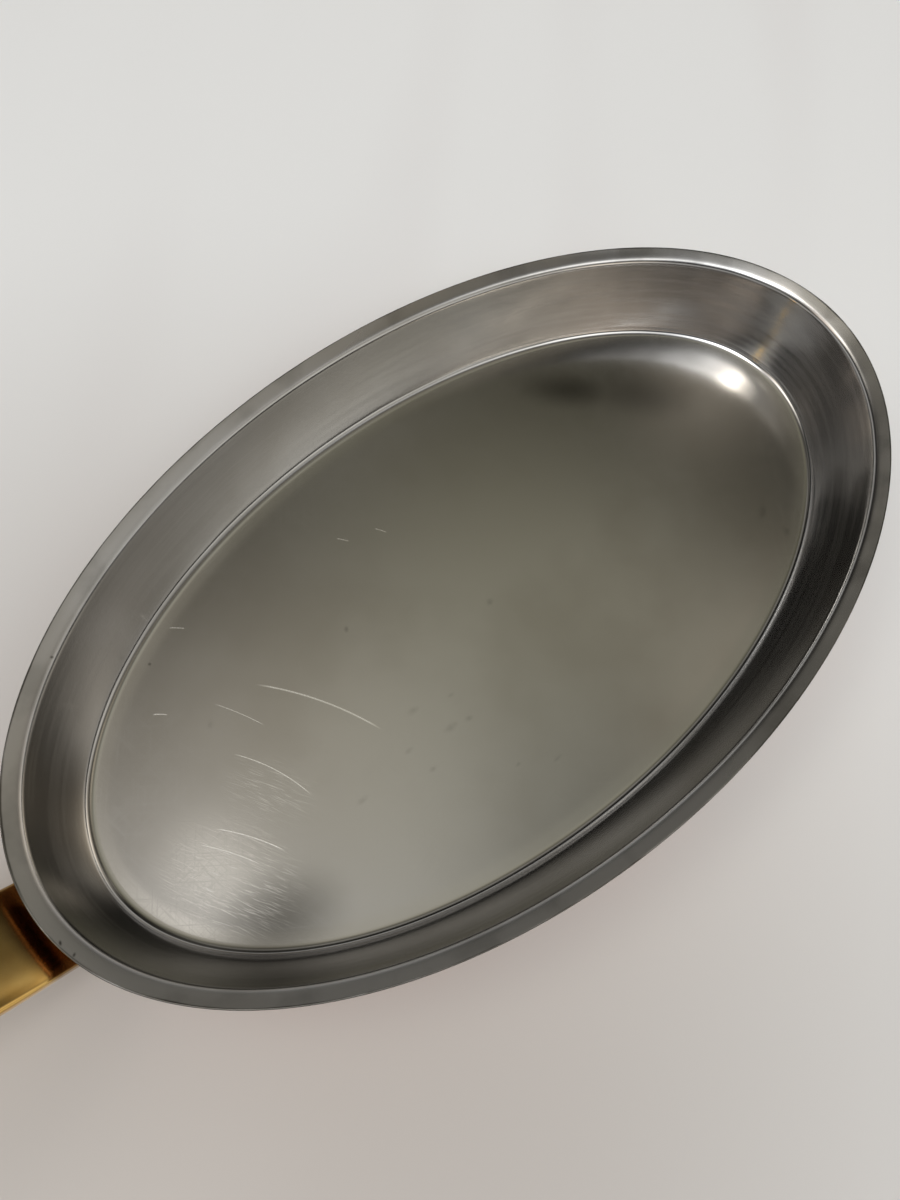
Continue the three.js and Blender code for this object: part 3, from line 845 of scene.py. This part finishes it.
def polished_stainless_steel():
    """Stainless steel, deep drawn and polished: a near-mirror with a slight haze. Its floor has hairlines
    in every direction, which close into rings round each highlight, scratches that run together at the
    handle's end, and a few drops that dried to stains. Its wall has level lines, as the pan turned under
    the polishing wheel, and its lip is duller from stacking and wiping, with a darker cut edge."""
    material, tree = new_material("polished_stainless_steel")
    where, level = in_millimetres(tree)
    along = add(tree, "SeparateXYZ", (where,))
    cloud = add(tree, "TexNoise", {"Vector": where, "Scale": 0.012, "Detail": 4.0})
    flat = add(tree, "MapRange", (level, SHEET + 3.0, SHEET + 0.8), **SOFT)
    upright = add(tree, "Math", (1.0, flat), operation="SUBTRACT")
    lip = add(tree, "MapRange", (level, RIM_HEIGHT - 3.6, RIM_HEIGHT - 2.2), **SOFT)
    lines = floor_scratches(tree, where, flat)

    # 0.05 mm polishing lines are drawn 0.45 mm wide, as the picture can't show them finer.
    fine = hairlines(tree, where, (8, 52, 97, 141), 0.45, 18.0, 0.56, 0.8)
    fine = add(tree, "Math", (fine, flat), operation="MULTIPLY")
    # The wheel's level lines are drawn 2 mm wide for the same reason, and as changes of gloss.
    rounds = streaks(tree, where, (70.0, 70.0, 2.0), 0.35, 0.7)
    rounds = add(tree, "Math", (rounds, upright), operation="MULTIPLY")
    lip_haze = add(tree, "MapRange", (along, -130.0, 60.0, 0.22, 0.06), **SOFT)
    rough = add(tree, "MapRange", (cloud, 0.35, 0.7, 0.125, 0.15), **SOFT)
    rough = add(tree, "Math", (fine, 0.04, rough), operation="MULTIPLY_ADD")
    rough = add(tree, "Math", (rounds, 0.05, rough), operation="MULTIPLY_ADD")
    rough = add(tree, "Math", (lines, 0.12, rough), operation="MULTIPLY_ADD")
    rough = add(tree, "Math", (lip, lip_haze, rough), operation="MULTIPLY_ADD")

    # The wall's broad waves are some 0.1 mm high, and 0.4 mm at the far end.
    waves = add(tree, "TexNoise", {"Vector": where, "Scale": 0.035, "Detail": 1.0})
    wave_height = add(tree, "MapRange", (along, 40.0, 150.0, 60.0, 240.0), **SOFT)
    wave_height = add(tree, "Math", (upright, wave_height), operation="MULTIPLY")
    height = add(tree, "Math", (fine, 0.2, lines), operation="MULTIPLY_ADD")
    height = add(tree, "Math", (waves, wave_height, height), operation="MULTIPLY_ADD")

    tint = add(tree, "MapRange", (cloud, 0.42, 0.7), **SOFT)
    color = add(tree, "Mix", {0: tint, 6: linear("#c3c1be"), 7: linear("#b7b4af")}, 2, data_type="RGBA")
    dark = darker_steel(tree, where, flat, lip)
    color = add(tree, "Mix", {0: dark, 6: color, 7: linear("#3d3a33")}, 2, data_type="RGBA")
    # Scratches are drawn in near-white steel: a painted glint, where they catch the light.
    color = add(tree, "Mix", {0: lines, 6: color, 7: linear("#f6f4f1")}, 2, data_type="RGBA")
    metal(tree, color, rough, height, 0.004)
    return material


def polished_copper():
    """Sheet copper, spun and polished: warm pink-orange with fine level lines round the wall. Thin brown
    tarnish lies in soft clouds, and the wall high up under the lip is painted dark brown as shade."""
    material, tree = new_material("polished_sheet_copper")
    where, level = in_millimetres(tree)
    cloud = add(tree, "TexNoise", {"Vector": where, "Scale": 0.02, "Detail": 5.0})
    # Painted shade under the lip, drawn in the tarnish's dark brown.
    under_lip = add(tree, "MapRange", (level, RIM_HEIGHT - 16.0, RIM_HEIGHT - 4.0), **SOFT)
    tarnish_and_shade = add(tree, "MapRange", (cloud, 0.4, 0.72), **SOFT)
    tarnish_and_shade = add(tree, "Math", (tarnish_and_shade, under_lip), operation="MAXIMUM")
    color = add(tree, "Mix", {0: tarnish_and_shade, 6: linear("#e3a582"), 7: linear("#80604a")}, 2, data_type="RGBA")
    rounds = streaks(tree, where, (50.0, 50.0, 0.45), 0.5, 0.75, detail=2.0)
    fine = hairlines(tree, where, (20, 80, 140), 0.4, 14.0, 0.6, 0.8)
    lines = add(tree, "Math", (fine, 0.6, rounds), operation="MULTIPLY_ADD")
    rough = add(tree, "MapRange", (tarnish_and_shade, 0.0, 1.0, 0.15, 0.26), **SOFT)
    rough = add(tree, "Math", (lines, 0.04, rough), operation="MULTIPLY_ADD")
    metal(tree, color, rough, lines, 0.004)
    return material


def cast_brass():
    """Brass, sand cast and polished by hand: a deep yellow mirror that is slightly wavy, with fine lines
    along the handle from the polishing cloth, a faint brown bloom where a hand holds it, and a painted dark
    reflection of the lip's underside at the foot, near the rim."""
    material, tree = new_material("hand_polished_cast_brass")
    where, _ = in_millimetres(tree)
    cloud = add(tree, "TexNoise", {"Vector": where, "Scale": 0.035, "Detail": 4.0})
    bloom = add(tree, "MapRange", (cloud, 0.45, 0.75), **SOFT)
    color = add(tree, "Mix", {0: bloom, 6: linear("#e8c67c"), 7: linear("#d2a65a")}, 2, data_type="RGBA")
    # Painted reflection: the brass near the rim is drawn dark brown, for the lip's dark underside that it
    # mirrors.
    ragged = add(tree, "Math", (cloud, 0.04, beyond(tree, where)), operation="MULTIPLY_ADD")
    lip_reflection = add(tree, "MapRange", (ragged, 1.074, 1.05, 0.0, 0.8), **SOFT)
    color = add(tree, "Mix", {0: lip_reflection, 6: color, 7: linear("#6b4a2a")}, 2, data_type="RGBA")
    waves = add(tree, "TexNoise", {"Vector": where, "Scale": 0.09, "Detail": 1.0})
    lines = streaks(tree, where, (25.0, 0.42, 0.42), 0.58, 0.8, detail=2.0)
    height = add(tree, "Math", (waves, 22.0, lines), operation="MULTIPLY_ADD")
    rough = add(tree, "MapRange", (cloud, 0.4, 0.75, 0.06, 0.11), **SOFT)
    rough = add(tree, "Math", (lines, 0.05, rough), operation="MULTIPLY_ADD")
    rough = add(tree, "Math", (lip_reflection, 0.12, rough), operation="MULTIPLY_ADD")
    metal(tree, color, rough, height, 0.0025)
    return material


def turned_metal(name, light, dark, roughness):
    """Small parts turned from bar: close rings left by the tool, over a colour that varies a little."""
    material, tree = new_material(name)
    where, _ = in_millimetres(tree)
    cloud = add(tree, "TexNoise", {"Vector": where, "Scale": 0.3, "Detail": 3.0})
    tint = add(tree, "MapRange", (cloud, 0.35, 0.7), **SOFT)
    color = add(tree, "Mix", {0: tint, 6: linear(light), 7: linear(dark)}, 2, data_type="RGBA")
    rings = streaks(tree, where, (0.25, 3.5, 3.5), 0.3, 0.7)
    rough = add(tree, "MapRange", (cloud, 0.3, 0.7, roughness, roughness + 0.08), **SOFT)
    metal(tree, color, rough, rings, 0.003)
    return material


lining_steel = polished_stainless_steel()
copper = polished_copper()
brass = cast_brass()
bar_steel = turned_metal("turned_stainless_steel", "#bdbbb5", "#aeaba4", 0.22)
bar_brass = turned_metal("turned_brass", "#e2bd6a", "#cda14e", 0.12)

lining = oval_skin("steel_lining_surface", layer_rows(0, STEEL_THICKNESS, EDGE_RADIUS, 0), lining_steel)
shell = oval_skin("copper_shell_surface", layer_rows(STEEL_THICKNESS, SHEET, 0, EDGE_RADIUS), copper)
pieces = [
    (lining, "steel_lining", "lining_steel"),
    (shell, "copper_shell", "shell_copper"),
    (handle(brass), "brass_handle", "handle_brass"),
]
for name, side in (("left", 1), ("right", -1)):
    pieces.append((washer(name + "_washer_surface", side, bar_steel), name + "_washer", "stud_steel"))
    pieces.append((cap_nut(name + "_cap_nut_surface", side, bar_brass), name + "_cap_nut", "nut_brass"))
for piece, node, slot in pieces:
    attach(piece, "root")
    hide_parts(node)
# The studs keep the solid model's own surface, as they are hidden in the nuts.
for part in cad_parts.values():
    if not part.hide_render:
        part.data.materials.clear()
        part.data.materials.append(bar_steel)


# Table.

# The shade beside the handle, as its middle and its inner and outer reach in millimetres.
SHADE_MIDDLE = (-190.0, -80.0)
SHADE_REACH = (10.0, 400.0)
TABLE_REACH = 2500.0


def table_top():
    """White laminate, satin: pale grey, with faint wiping streaks, and a softly shaded zone beside the
    handle."""
    material, tree = new_material("satin_white_laminate")
    where, _ = in_millimetres(tree)
    away = add(tree, "VectorMath", (where, (*SHADE_MIDDLE, 0.0)), "Value", operation="DISTANCE")
    open_share = add(tree, "MapRange", (away, *SHADE_REACH), **SOFT)
    wiped = streaks(tree, where, (420.0, 60.0, 420.0), 0.4, 0.8, 43)
    pale = add(tree, "Mix", {0: wiped, 6: linear("#e8e8e7"), 7: linear("#e4e3e2")}, 2, data_type="RGBA")
    color = add(tree, "Mix", {0: open_share, 6: linear("#b7b0aa"), 7: pale}, 2, data_type="RGBA")
    rough = add(tree, "MapRange", (wiped, 0.0, 1.0, 0.38, 0.44), **SOFT)
    shader = add(tree, "BsdfPrincipled", {"Base Color": color, "Roughness": rough})
    add(tree, "OutputMaterial", (shader,))
    corners = np.array([[-1, -1, 0], [1, -1, 0], [1, 1, 0], [-1, 1, 0]]) * TABLE_REACH
    top = mesh_piece("table_top", corners, np.arange(4)[None, :], NO_TRIANGLES, material)


table_top()

# Light: soft lamps and windows of a plain room, and its pale walls low down all round.

# Azimuth, elevation and spread in degrees, strength at the middle, and colour.
ROOM_LIGHTS = [
    (-147, 62, 11, 7.2, "#f8fbff"),
    (-82, 51, 8, 2.6, "#fffffe"),
    (130, 53, 8.5, 3.7, "#fffbf4"),
    (-177, 74.5, 4.2, 9.6, "#fff9f0"),
    (17, 46, 2.2, 0.5, "#fff4e4"),
    (153, 37, 7.5, 1.55, "#fff3e8"),
    (-97, 13, 6, 1.1, "#fff0d8"),
    (-68, 20, 10, 0.75, "#fffdf4"),
    (-38, 24, 7, 0.85, "#fffbf4"),
    (-8, 15, 10, 1.2, "#fff3e0"),
    (-50, 37, 9, 0.3, "#fffbf4"),
    (-19, 56, 6.5, 0.65, "#fff3dc"),
    (30, 62, 9, 0.2, "#fff9d9"),
    (20, 76, 9, 0.25, "#ffffef"),
    (73, 74, 8, 0.32, "#fff6e4"),
    (99, 77, 4, 0.13, "#fffaf4"),
    (97, 79, 1.4, 1.2, "#fffcf6"),
    (-165, 30, 8, 0.16, "#fffaf2"),
    (84, 42, 6, 0.16, "#fffbf2"),
    (46, 27, 9, 0.08, "#fffbee"),
    (9, 59, 5, 0.15, "#fffae6"),
    (57, 48, 5, 0.35, "#fffbf2"),
    (8, 32, 5, 0.33, "#fffaf0"),
    (5, 85, 6, 0.24, "#fffbf0"),
]
WALL_LIGHT = 0.5
WALL_FADES = (12, 22)


def room():
    """A light's brightness at a direction falls off as exp((cos of the angle to it - 1) / spread^2). The
    walls' brightness fades out between two elevations in degrees."""
    world = bpy.data.worlds.new("room")
    bpy.context.scene.world = world
    world.use_nodes = True
    tree = world.node_tree
    tree.nodes.clear()
    where = add(tree, "TexCoord", output="Generated")
    height = add(tree, "SeparateXYZ", (where,), 2)
    fades = np.sin(np.radians(WALL_FADES)).tolist()
    walls = add(tree, "MapRange", (height, *fades, WALL_LIGHT, 0.0), **SOFT)
    total = add(tree, "CombineXYZ", (walls, walls, walls))
    for azimuth, elevation, spread, strength, color in ROOM_LIGHTS:
        turn, rise = np.radians(azimuth), np.radians(elevation)
        towards = (np.cos(rise) * np.cos(turn), np.cos(rise) * np.sin(turn), np.sin(rise))
        nearness = add(tree, "VectorMath", (where, towards), "Value", operation="DOT_PRODUCT")
        sharpness = 1 / np.radians(spread) ** 2
        power = add(tree, "Math", (nearness, sharpness, -sharpness), operation="MULTIPLY_ADD")
        share = add(tree, "Math", (power,), operation="EXPONENT")
        share = add(tree, "CombineXYZ", (share, share, share))
        glow = tuple(strength * channel for channel in linear(color)[:3])
        total = add(tree, "VectorMath", (share, glow, total), operation="MULTIPLY_ADD")
    add(tree, "OutputWorld", (add(tree, "Background", (total, 1.0)),))


room()

# Camera: its place in metres, the way it looks, and its right-hand side, as fitted to the two ovals.
CAMERA_PLACE = Vector((-0.1394, -0.0759, 0.3198))
CAMERA_FORWARD = Vector((0.3495, 0.2378, -0.9062)).normalized()
CAMERA_SIDE = Vector((0.7347, -0.6698, 0.1076))
CAMERA_LENS = 27
CAMERA_SENSOR = 36
NEAREST_SEEN = 0.01


def camera():
    """A camera whose right-hand side is turned square to the way it looks."""
    lens = bpy.data.cameras.new("camera")
    lens.lens = CAMERA_LENS
    lens.sensor_width = CAMERA_SENSOR
    lens.clip_start = NEAREST_SEEN
    taker = bpy.data.objects.new("camera", lens)
    bpy.context.scene.collection.objects.link(taker)
    right = (CAMERA_SIDE - CAMERA_FORWARD * CAMERA_SIDE.dot(CAMERA_FORWARD)).normalized()
    place = Matrix((right, right.cross(CAMERA_FORWARD), -CAMERA_FORWARD)).transposed().to_4x4()
    place.translation = CAMERA_PLACE
    taker.matrix_world = place
    bpy.context.scene.camera = taker


camera()
bpy.context.scene.view_settings.view_transform = "Standard"
